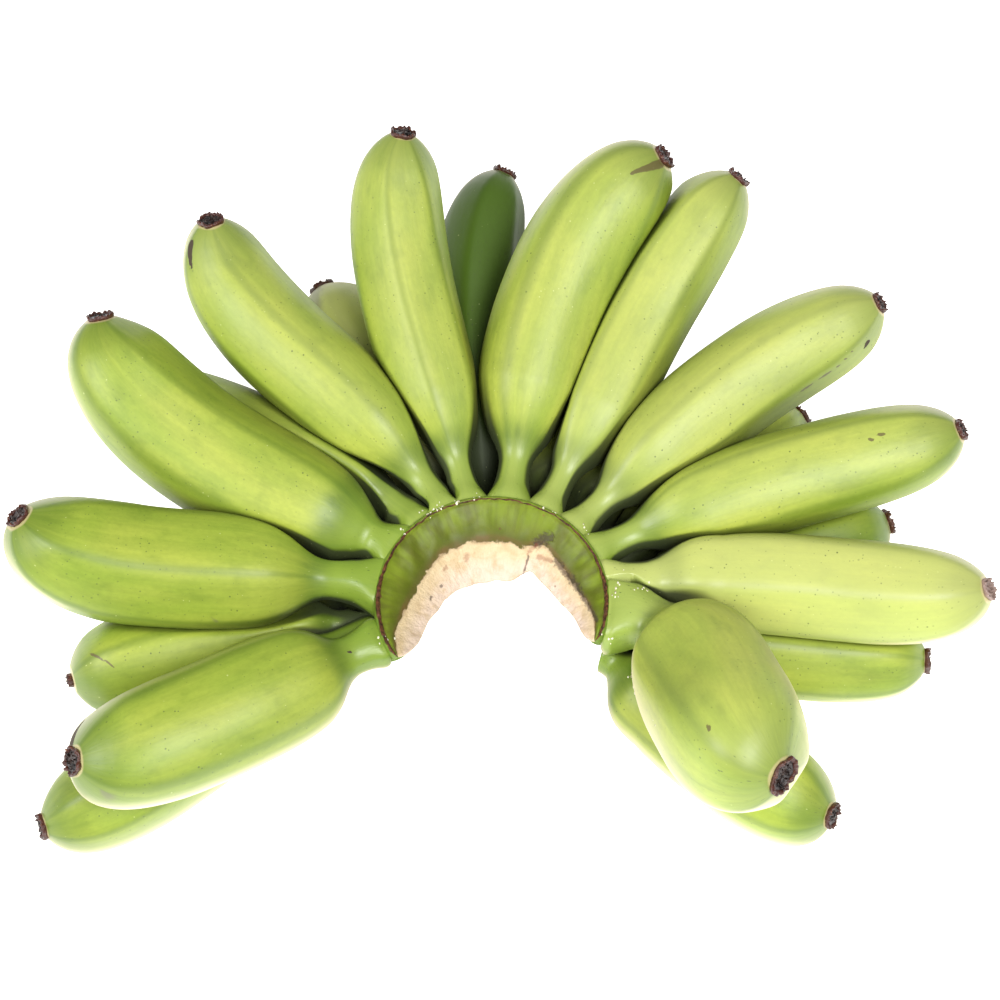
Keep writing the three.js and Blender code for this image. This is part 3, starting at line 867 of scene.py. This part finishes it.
# Presses a finger's flesh flat where it meets the other fingers and the ground, and roots it in the crown.
def pressFinger(mesh, own, others):
    spine, surface = readValues(mesh, "spine", 3), readValues(mesh, "position", 3)
    along, around = readValues(mesh, "along"), readValues(mesh, "around")
    reach = np.linalg.norm(surface - spine, axis=1)
    direction = (surface - spine) / reach[:, None]
    radius = np.interp(along, own["places"], own["radii"])
    gap, spare = finger["gap"] * mm, finger["pressingRange"] * mm
    limit = np.full(len(reach), 1.0)
    for other in others:
        nearest = np.linalg.norm(own["centres"][:, None] - other["centres"][None], axis=2).min()
        if nearest > own["radii"].max() + other["radii"].max() + spare:
            continue
        apart = other["centres"][None] - spine[:, None]
        squared = (apart**2).sum(axis=2)
        facing = (apart * direction[:, None]).sum(axis=2)
        touching = (facing > 1e-6) & (squared < (radius[:, None] + other["radii"][None] + spare) ** 2)
        facing = np.where(touching, facing, 1.0)
        plane = squared + radius[:, None] ** 2 - other["radii"][None] ** 2 - gap * np.sqrt(squared)
        limit = np.minimum(limit, np.where(touching, plane / (2 * facing), 1.0).min(axis=1))
    travelled = along * lengthOf(own)
    limit += finger["fusedDepth"] * mm * np.clip(1 - travelled / (finger["fused"] * mm), 0, 1)
    reach = softLesser(reach, np.maximum(limit, finger["leastReach"] * mm), finger["give"] * mm)
    fromRound = 1 - np.clip(travelled / (finger["rootRound"] * mm), 0, 1)
    reach *= own["rounding"] + (1 - own["rounding"]) * np.sqrt(1 - fromRound**2)
    surface = spine + direction * reach[:, None]

    # the root's ring goes a little into the crown's round wall, and the skin next to it follows
    axis = np.array(crownAxis)[:2]
    flat = surface[:, :2] - axis
    fromAxis = np.linalg.norm(flat, axis=1)
    sunk = (crown["wallRadius"] - finger["sunk"]) * mm
    ring = np.flatnonzero(along < 1e-5)
    ring = ring[np.argsort(around[ring])]
    standsOut = np.interp(around, around[ring], fromAxis[ring] - sunk, period=2 * pi)
    drawn = fromAxis - standsOut * np.exp(-travelled / (finger["drawnIn"] * mm))
    flat *= (drawn / fromAxis)[:, None]
    surface[:, :2] = axis + flat * (np.maximum(drawn, sunk) / drawn)[:, None]
    fromWall = np.maximum(drawn / mm - crown["wallRadius"], 0)
    rim = crown["rimHeight"] - finger["rimDrop"]
    rim = rim + fromWall * finger["rimSlope"] + (fromWall / finger["rimCurve"]) ** 2
    surface[:, 2] = softLesser(surface[:, 2], rim * mm, finger["rimSoftness"] * mm)
    surface[:, 2] = np.maximum(surface[:, 2], 0)
    mesh.vertices.foreach_set("co", surface.astype(np.float32).ravel())
    mesh.update()


# How much of what each point of a skin faces is other fingers: 0 in the open, about 1 where they touch it. It
# sets the painted shade in the hollows.
def hollowness(mesh, others):
    places, normals = readValues(mesh, "position", 3), readValues(mesh, "normal", 3)
    hollowShade = np.zeros(len(places))
    reachOut = finger["hollowRange"] * mm
    for other in others:
        centres, radii = other["centres"][::2], other["radii"][::2]
        beyond = (centres.min(axis=0) - places.max(axis=0), places.min(axis=0) - centres.max(axis=0))
        if np.max(beyond) > reachOut:
            continue
        share = np.linalg.norm(np.gradient(centres, axis=0), axis=1) * radii / 2
        apart = centres[None] - places[:, None]
        distance = np.linalg.norm(apart, axis=2)
        facing = np.maximum((apart * normals[:, None]).sum(axis=2), 0) / distance
        hollowShade += (facing * share / np.maximum(distance, radii) ** 2).sum(axis=1)
    height, softness, farthest = finger["openFrom"]
    fromWall = np.linalg.norm(places[:, :2] - np.array(crownAxis)[:2], axis=1) / mm - crown["wallRadius"]
    atRim = shareOf(places[:, 2] / mm, height, height + softness) * np.clip(1 - fromWall / farthest, 0, 1)
    return hollowShade * (1 - atRim), normals


# How near each point of a finger's skin is to the lines of its marks, each kind of mark by itself.
def paintMarks(mesh, one):
    along, around = readValues(mesh, "along"), readValues(mesh, "around")

    # places and turns on the skin laid out flat
    def laidOut(places, turns):
        radii = np.interp(places, one["places"], one["radii"])
        return np.column_stack([places * lengthOf(one), np.radians(turns) * radii]) / mm

    for kind in ("scab", "bruise", "stroke"):
        near = np.zeros(len(along))
        for width, *line in (mark[2:] for mark in marks if mark[:2] == (one["label"], kind)):
            points, first = np.array(line), line[0][1]
            ends = laidOut(points[:, 0], points[:, 1] - first)
            skin = laidOut(along, (np.degrees(around) - first + 180) % 360 - 180)
            near = np.maximum(near, nearLine(skin, ends, width, finger["markTaper"]))
        if near.any():
            writeValues(mesh, kind, near)


growFinger = fingerTree()
fingers = []
for row, listed in (("upper", upperFingers), ("lower", lowerFingers)):
    for number, (*values, own) in enumerate(listed, start=1):
        one = {**plain, "flare": finger[row + "Flare"], **dict(zip(columns, values)), **own}
        points = centrePoints(one)
        places, centres, radii = ballsOf(one, points)
        one.update(label=f"{row}_{number:02d}", seed=len(fingers) + 1, points=points, places=places,
                   centres=centres, radii=radii)
        fingers.append(one)

for one in fingers:
    flare, flareLength = one["flare"]
    piece = meshFrom("banana_" + one["label"], growFinger, {
        **finger, **dict(zip(("root", "rootHandle", "tipHandle", "tip"), one["points"])), "peel": peel,
        "girth": one["girth"] * mm, "ridgeTurn": radians(one["ridge"]), "nod": radians(one["nod"]),
        "neck": one["neck"], "shoulder": one["shoulder"], "flare": flare * mm,
        "flareLength": flareLength * mm, "lumps": finger["lumps"] * mm, "seed": one["seed"] * seedStep,
    })
    others = [other for other in fingers if other is not one]
    pressFinger(piece.data, one, others)
    hollowShade, normals = hollowness(piece.data, others)
    writeValues(piece.data, "hollowShade", hollowShade)
    # painted light: the skin is paler where it faces up and a little darker where it faces sideways and down;
    # it goes into the tone
    sunny = finger["sunny"] * (np.maximum(normals[:, 2], 0) ** 2 - finger["sunnyMean"])
    writeValues(piece.data, "tone", one["tone"] - sunny)
    paintMarks(piece.data, one)
    settle(piece, "peel", "finger_" + one["label"])
print("fingers grown:", len(fingers))


# The crown's section at a bearing: distances from its axis and heights, as in the solid.
def crownCorners(bearing):
    c = crown
    wall, rim, footRound, edgeRound = c["wallRadius"], c["rimHeight"], c["footRound"], c["edgeRound"]
    skin = valueAt(c["widths"], bearing) + waves((bearing, 0, 0), c["skinWander"])
    cut = valueAt(c["widths"], bearing, 2) + waves((bearing, 0, 0), c["cutWander"])
    swelling = c["swellingHeight"] * cos(radians(bearing) * c["swellings"])
    fromEnd = min(bearing - c["widths"][0][0], c["widths"][-1][0] - bearing)
    degrees, rise = c["footRise"]
    foot = c["wallFoot"] + rise * max(0, 1 - fromEnd / degrees)
    skinTop, skinHeight = wall - c["rimWidth"], rim - c["rimDrop"]
    cutTop, cutHeight = skinTop - skin, skinHeight - skin * c["skinSlope"]
    edge, edgeHeight = cutTop - cut, cutHeight - cut * c["cutSlope"]
    return np.array((
        (wall, foot + footRound), (wall, (foot + rim) / 2), (wall, rim - footRound),
        *((wall - c["rimWidth"] * share, rim - c["rimDrop"] * drop) for share, drop in c["rimCorners"]),
        (skinTop, skinHeight),
        (skinTop - skin / 2, (skinHeight + cutHeight) / 2 + swelling + c["skinBulge"]),
        (cutTop, cutHeight),
        (cutTop - cut / 2, (cutHeight + edgeHeight) / 2 - c["cutHollow"]),
        (edge, edgeHeight), (edge + edgeRound, edgeHeight - edgeRound),
        ((edge + wall) / 2, (edgeHeight + foot) / 2 - edgeRound), (wall - footRound, foot),
    ))


# Cuts the corners of a closed outline three times, which rounds it.
def cutCorners(outline, corners, rounds=3):
    for _ in range(rounds):
        following = np.roll(outline, -1, axis=0)
        following[-1, 2] += corners
        outline = np.stack([outline * 0.75 + following * 0.25, outline * 0.25 + following * 0.75], axis=1)
        outline = outline.reshape(-1, 3)
    return outline


def makeCrown():
    c = crown
    rightEnd, leftEnd = c["widths"][0][0], c["widths"][-1][0]
    core = np.array(c["endCore"])
    (cutLow, cutHigh), (skinLow, skinHigh) = c["cutFrom"], c["skinFrom"]
    points, flat, values = [], [], {name: [] for name in ("across", "bearing", "scar")}
    for i in range(c["stations"] + 1):
        share = i / c["stations"]
        bearing = leftEnd + (rightEnd - leftEnd) * share
        fromEnd = min(share, 1 - share) / c["endLength"]
        size = c["endSize"] + (1 - c["endSize"]) * np.sqrt(1 - max(0, 1 - fromEnd) ** 2)
        corners = crownCorners(bearing)
        section = cutCorners(np.column_stack([corners, np.arange(len(corners))]), len(corners))
        scarWidth = valueAt(c["scarWidths"], bearing) * (1 + waves((bearing, 0, 0), c["scarSwell"]))
        for radius, height, across in section:
            r, z = core + (np.array((radius, height)) - core) * size
            place = polar(bearing, r, z)
            onCut = np.clip(across - cutLow, 0, 1) * np.clip(cutHigh - across, 0, 1)
            onSkin = np.clip(across - skinLow, 0, 1) * np.clip(skinHigh - across, 0, 1)
            scar = 1 - abs(across - c["scarAt"] + waves(place, c["scarWander"])) / scarWidth
            rise = onCut * waves(place, c["cutWaves"]) + onSkin * waves(place, c["skinWaves"])
            rise += max(0, scar) * (c["scarHeight"] + waves(place, c["scarWaves"])) * min(scarWidth, 1)
            points.append(tuple(onBearing(bearing, r, z + rise)))
            flat.append(place[:2])
            values["across"].append(across % len(corners))
            values["bearing"].append(bearing)
            values["scar"].append(max(scar, -1))
    across = np.array(values["across"])
    low, high = c["stainsFrom"]
    for name in ("smear", "rust"):
        near = np.max([nearLine(np.array(flat), line, width) for width, *line in c[name]], axis=0)
        values[name] = np.where((across > low) & (across < high), np.maximum(near, -1), -1)
    sides = len(section)
    faces = []
    for i in range(c["stations"]):
        for j in range(sides):
            k = (j + 1) % sides
            faces.append((i * sides + j, i * sides + k, (i + 1) * sides + k, (i + 1) * sides + j))
    faces.append(tuple(range(sides - 1, -1, -1)))
    faces.append(tuple(range(c["stations"] * sides, (c["stations"] + 1) * sides)))
    mesh = bpy.data.meshes.new("bananaCrown")
    mesh.from_pydata(points, [], faces)
    for name, listed in values.items():
        writeValues(mesh, name, listed)
    mesh.update()
    writeValues(mesh, "hollowShade", hollowness(mesh, fingers)[0])
    mesh.materials.append(crownSkin)
    mesh.shade_smooth()
    return newPiece("bananaCrown", mesh)


crownPiece = makeCrown()
settle(crownPiece, "crown_skin", "crown")
print("crown made")

flower = {
    "radius": 3.8,
    "height": 2.2,
    "lobes": 5,
    "sides": 48,
    "rings": 14,
    "wrinkle": 0.8,
    "bits": 9,             # torn bits round the rim
    "bitLength": 1.7,
    "bitWidth": 0.9,
    "threads": 60,         # dried threads that lie curled inside it
    "threadLength": 2.6,
    "sunk": 0.3,           # how deep it sits on the finger's tip
}
flowerLengths = ("radius", "height", "wrinkle", "bitWidth", "threadLength")


# A withered flower: a wrinkled pad of dried threads inside a torn, lobed sheath, standing on the XY plane.
def flowerTree():
    tree, given, result = newTree("witherFlower", "GeometryNodeTree", {
        "Float": "radius, height, wrinkle, lobes, bitLength, bitWidth, threads, threadLength, pale",
        "Int": "bits, sides, rings, seed", "Vector": "stretch, place, turn", "Material": "dried",
    }, {"Geometry": "Geometry"})
    seeded = times(given["seed"], seedStep)
    position = shape(tree, "InputPosition")
    at = put(tree, "ShaderNodeSeparateXYZ", {0: position})
    flatPlace = times3(position, (1, 1, 0))
    fromMiddle, outward = along3("LENGTH", flatPlace), unit(flatPlace)
    around = calc("ARCTAN2", at[1], at[0])
    lobe = calc("COSINE", timesPlus(around, given["lobes"], seeded))
    uneven = cloudy(tree, 1.6, 2.0, vector=outward, seed=seeded)
    uneven = timesPlus(minus(uneven, 0.5), 0.5, 1.0)
    wide = times(given["radius"], timesPlus(lobe, 0.05, uneven))

    # folds that shake a part's points about
    def shaken(places, amount):
        folds = cloudy(tree, 560.0, 3.0, 0.6, places, seeded, "Color")
        shift = scaled(minus3(folds, (0.5, 0.5, 0.5)), given["wrinkle"])
        return plus3(places, scaled(shift, amount))

    def circle(sides, radius):
        inputs = {"Resolution": sides, "Radius": radius}
        return shape(tree, "CurvePrimitiveCircle", inputs, mode="RADIUS")

    # the pad: a ball pressed flat, sunken in its middle
    ball = shape(tree, "MeshUVSphere", {
        "Segments": given["sides"], "Rings": given["rings"], "Radius": 1.0})
    rise = timesPlus(at[2], 0.3, times(eased(fromMiddle, 0.3, 0.9), 0.12))
    flat = combined(times(at[0], wide), times(at[1], wide), times(timesPlus(rise, 1.4, 0.1), given["height"]))
    pad = moved(ball, shaken(flat, times(eased(at[2], -0.2, 0.4), 2.2)))

    # the sheath: a ring drawn up into a torn wall that leans outwards
    ring = shape(tree, "CurveToMesh", {
        "Curve": circle(given["sides"], 1.0), "Profile Curve": circle(8, 0.2)})
    level = times(at[2], 5.0)
    torn = eased(cloudy(tree, 4.5, 3.0, 0.7, outward, seeded), 0.32, 0.66, 0.5, 1.15)
    wallRise = times(timesPlus(level, 0.5, 0.5), torn)
    leaning = timesPlus(minus(fromMiddle, 1.0), 0.75, timesPlus(wallRise, 0.12, 0.95))
    wall = plus3(scaled(outward, times(wide, leaning)), combined(0.0, 0.0, times(wallRise, given["height"])))
    sheath = moved(ring, shaken(wall, 1.0))

    # a strip that stands on its foot and curls over
    stripCurve = shape(tree, "CurvePrimitiveBezierSegment", {
        "Resolution": 8, "Start": (0, 0, 0), "Start Handle": (0, 0, 0.5), "End Handle": (0.25, 0.1, 0.9),
        "End": (0.6, 0.0, 0.7)})
    flatRound = shape(tree, "Transform", {"Geometry": circle(6, 0.5), "Scale": (1.0, 0.35, 1.0)})
    taper = eased(put(tree, "GeometryNodeSplineParameter")["Factor"], 0.3, 1.0, 1.0, 0.15)
    stripWidth = divided(given["bitWidth"], given["bitLength"])
    strip = shape(tree, "CurveToMesh", {
        "Curve": stripCurve, "Profile Curve": flatRound, "Scale": times(taper, stripWidth),
        "Fill Caps": True})

    # sets strips on points, each turned and sized by chance
    def strewn(points, rotation, least, longest, low, high, salt):
        seed = plus(given["seed"], salt)
        inputs = {"Min": least, "Max": longest, "Seed": seed}
        tilt = put(tree, "FunctionNodeRandomValue", inputs, data_type="FLOAT_VECTOR")["Value"]
        turned = put(tree, "FunctionNodeRotateRotation", {
            "Rotation": rotation, "Rotate By": put(tree, "FunctionNodeEulerToRotation", {0: tilt})[0],
        }, rotation_space="LOCAL")[0]
        inputs = {2: low, 3: high, "Seed": plus(seed, 71.0)}
        length = put(tree, "FunctionNodeRandomValue", inputs, data_type="FLOAT")[1]
        return shape(tree, "InstanceOnPoints", {
            "Points": points, "Instance": strip, "Rotation": turned,
            "Scale": scaled((1, 1, 1), times(length, given["bitLength"]))})

    ringOf = shape(tree, "MeshCircle", {
        "Vertices": given["bits"], "Radius": times(given["radius"], 0.95)})
    outwards = put(tree, "FunctionNodeAlignRotationToVector", {"Vector": position}, axis="X",
                   pivot_axis="Z")[0]
    bits = strewn(ringOf, outwards, (-0.7, -1.9, -0.8), (0.7, 0.5, 0.8), 0.3, 1.0, 0.0)
    disc = shape(tree, "MeshCircle", {
        "Vertices": 24, "Radius": times(given["radius"], 0.72)}, fill_type="NGON")
    area = times(power(given["radius"], 2.0), pi * 0.72**2)
    scattered = shape(tree, "DistributePointsOnFaces", {
        "Mesh": disc, "Density": divided(given["threads"], area), "Seed": given["seed"]})
    threadShare = divided(given["threadLength"], given["bitLength"])
    threads = strewn(scattered, (0, 0, 0), (-1.5, -1.5, -3.1), (1.5, 1.5, 3.1), 0.35, 0.9, 13.0)
    threads = shape(tree, "ScaleInstances", {
        0: threads, "Scale": scaled((0.8, 0.8, 1), threadShare)})
    lift = combined(0.0, 0.0, times(given["height"], 0.3))
    threads = shape(tree, "Transform", {"Geometry": threads, "Translation": lift})

    rimmed = shape(tree, "RealizeInstances", {"Geometry": joined(bits, sheath)})
    whole = joined(threads, stored(rimmed, "rim", 1.0), pad)
    whole = shape(tree, "Transform", {"Geometry": whole, "Scale": given["stretch"]})
    whole = shape(tree, "Transform", {
        "Geometry": whole, "Translation": given["place"],
        "Rotation": put(tree, "FunctionNodeEulerToRotation", {0: given["turn"]})[0]})
    whole = shape(tree, "RealizeInstances", {"Geometry": whole})
    handOut(stored(whole, "paleness", given["pale"]), given["dried"], result)
    return tree


witherFlower = flowerTree()
for one in fingers:
    tipHandle, tip = one["points"][2:]
    ahead = (tip - tipHandle).normalized()
    aside = ahead.cross(up).normalized()
    ahead = (ahead + aside.cross(ahead) * tan(radians(one["nod"]))).normalized()
    turn = (up.rotation_difference(ahead) @ Quaternion(up, radians(one["spin"]))).to_euler()
    piece = meshFrom("flower_" + one["label"], witherFlower, {
        **flower, **{name: flower[name] * mm for name in flowerLengths}, "pale": one["pale"],
        "bitLength": flower["bitLength"] * one["dried"] * mm,
        "stretch": Vector((one["wide"], one["tall"], 1)), "seed": one["seed"],
        "place": tip - ahead * flower["sunk"] * mm, "turn": Vector(turn), "dried": driedFlower,
    })
    settle(piece, "dried_flower", "flower_end_" + one["label"])
print("flower ends made")

sap = {
    "beadSizes": (0.15, 0.42),
    "length": 1.4,         # a bead's length and height as shares of its width
    "flatness": 0.6,
    "wrinkle": 0.25,
    "folds": 900.0,        # how close together its wrinkles are
    "seed": 11,
    "spots": (             # where it dried, how many beads lie there and how far apart
        ((-19.5, -9.5, 43.5), 9, 1.1), ((-14.5, -8.0, 43.5), 9, 1.3), ((-24.0, -12.0, 43.8), 6, 1.3),
        ((-30.7, -18.2, 43.5), 4, 1.2), ((-9.0, -6.5, 43.8), 4, 1.0), ((13.0, -9.5, 43.8), 3, 1.4),
        ((19.0, -11.0, 43.4), 3, 1.0), ((28.0, -17.5, 43.6), 4, 1.2), ((36.0, -41.0, 44.1), 6, 1.6),
        ((34.5, -56.0, 41.0), 8, 1.4), ((38.5, -35.0, 43.0), 4, 1.4), ((46.5, -39.5, 45.0), 6, 1.6),
        ((41.5, -64.0, 34.0), 5, 1.2), ((43.0, -73.0, 42.5), 6, 1.6), ((48.5, -94.0, 64.5), 3, 1.4),
        ((-37.3, -57.0, 43.5), 5, 1.2),
    ),
}


# Beads on points, each turned and sized by the point's own values and wrinkled a little.
def beadTree():
    tree, given, result = newTree("dryBeads", "GeometryNodeTree", {
        "Geometry": "points", "Float": "length, flatness, wrinkle, folds", "Material": "dried",
    }, {"Geometry": "Geometry"})
    lean, size = (
        shape(tree, "InputNamedAttribute", {"Name": name}, data_type=kind)
        for name, kind in (("lean", "FLOAT_VECTOR"), ("size", "FLOAT")))
    beads = shape(tree, "InstanceOnPoints", {
        "Points": shape(tree, "MeshToPoints", {"Mesh": given["points"]}),
        "Instance": shape(tree, "MeshIcoSphere", {"Radius": 1.0, "Subdivisions": 3}),
        "Rotation": put(tree, "FunctionNodeAlignRotationToVector", {"Vector": lean}, axis="Z")[0],
        "Scale": combined(size, times(size, given["length"]), times(size, given["flatness"]))})
    beads = shape(tree, "RealizeInstances", {"Geometry": beads})
    folds = cloudy(tree, given["folds"], 1.0, output="Color")
    shift = scaled(minus3(folds, (0.5, 0.5, 0.5)), given["wrinkle"])
    handOut(moved(beads, shift, "Offset"), given["dried"], result)
    return tree


# The points that the beads grow on; they lie on the nearest skin.
def beadPoints():
    skins = [crownPiece.data] + [bpy.data.objects["banana_" + one["label"]].data for one in fingers]
    places, normals = (
        np.concatenate([readValues(mesh, name, 3) for mesh in skins]) for name in ("position", "normal"))
    chance = np.random.default_rng(sap["seed"])
    chosen, sizes = [], []
    for place, count, spread in sap["spots"]:
        for _ in range(count):
            aim = (np.array(place) + chance.normal(size=3) * spread) * mm
            chosen.append(int(((places - aim) ** 2).sum(axis=1).argmin()))
            sizes.append(chance.uniform(*sap["beadSizes"]) * mm)
    start = bpy.data.meshes.new("driedSap_start")
    start.from_pydata(places[chosen].tolist(), [], [])
    leans = normals[chosen].astype(np.float32).ravel()
    start.attributes.new("lean", "FLOAT_VECTOR", "POINT").data.foreach_set("vector", leans)
    writeValues(start, "size", sizes)
    return start


beadValues = {**sap, "wrinkle": sap["wrinkle"] * mm, "dried": driedSap}
sapPiece = meshFrom("driedSap", beadTree(), beadValues, beadPoints())
settle(sapPiece, "crown_skin")
print("sap beads made")

stage = {
    "size": 6,
    "colour": (0.8, 0.79, 0.785, 1),
    "roughness": 0.7,
    "glowColour": (1, 0.985, 0.98, 1),
    "glow": 2.3,           # light that it throws back
    "mirroredGlow": 1.6,   # the same as the gloss of the peel mirrors it
    "seenGlow": 1.2,
    "shadedGlow": 0.1,     # share that is left under the hand
    "shadeMiddle": (0, 0.035, 0),
    "shadeEdge": (0.08, 0.2),
}


# The ground glows like a lit white sweep, but less where the hand shades it, and more in the peel's gloss.
def makeStage():
    bpy.ops.mesh.primitive_plane_add(size=stage["size"])
    floor = bpy.context.object
    floor.name = "floor"
    material, tree, shader = newMaterial("paleGround")
    fromHand = along3("DISTANCE", objectPlace(tree), stage["shadeMiddle"])
    bounce = eased(fromHand, *stage["shadeEdge"], stage["shadedGlow"], 1.0)
    rays = put(tree, "ShaderNodeLightPath")
    mirrored = times(times(rays["Is Glossy Ray"], bounce), stage["mirroredGlow"])
    glow = timesPlus(rays["Is Camera Ray"], stage["seenGlow"], mirrored)
    glow = timesPlus(times(rays["Is Diffuse Ray"], bounce), stage["glow"], glow)
    fill(shader, {"Base Color": stage["colour"], "Roughness": stage["roughness"],
                  "Emission Color": stage["glowColour"], "Emission Strength": glow})
    floor.data.materials.append(material)


light = {
    "world": ((1, 0.99, 0.985, 1), 0.25),      # colour and strength
    "aim": (0, 0, 0.03),
    "softboxes": {             # bearing, elevation, distance, size and watts of each
        "softboxRight": (-50, 61, 1.4, 0.5, 14.5),
        "softboxLeft": (-160, 42, 1.4, 0.5, 12),
        "softboxFront": (-80, 50, 1.4, 0.5, 5),
    },
}


# Turns a lamp or a camera at a place towards its aim.
def pointAt(thing, place, aim):
    thing.location = place
    thing.rotation_euler = (Vector(aim) - thing.location).to_track_quat("-Z", "Y").to_euler()


def makeLight():
    world = bpy.data.worlds.new("studio")
    world.use_nodes = True
    colour, strength = light["world"]
    fill(world.node_tree.nodes["Background"], {"Color": colour, "Strength": strength})
    bpy.context.scene.world = world
    for name, (bearing, elevation, distance, size, watts) in light["softboxes"].items():
        data = bpy.data.lights.new(name, "AREA")
        data.shape, data.size, data.size_y, data.energy = "RECTANGLE", size, size, watts
        slope = radians(elevation)
        place = polar(bearing, distance * cos(slope), distance * sin(slope))
        pointAt(newPiece(name, data), place, light["aim"])
    bpy.context.scene.view_settings.view_transform = "Standard"


viewpoint = {
    "aim": (0.0, -0.0144, 0.0575),
    "elevation": 63.33,
    "distance": 1.1005,
    "lens": 123.75,
    "sensor": 36,
}


def makeCamera():
    view = viewpoint
    data = bpy.data.cameras.new("camera")
    data.lens, data.sensor_width = view["lens"], view["sensor"]
    camera = newPiece("camera", data)
    slope, aim = radians(view["elevation"]), Vector(view["aim"])
    pointAt(camera, aim + Vector((0, -cos(slope), sin(slope))) * view["distance"], aim)
    bpy.context.scene.camera = camera


makeStage()
makeLight()
makeCamera()
print("stage set")
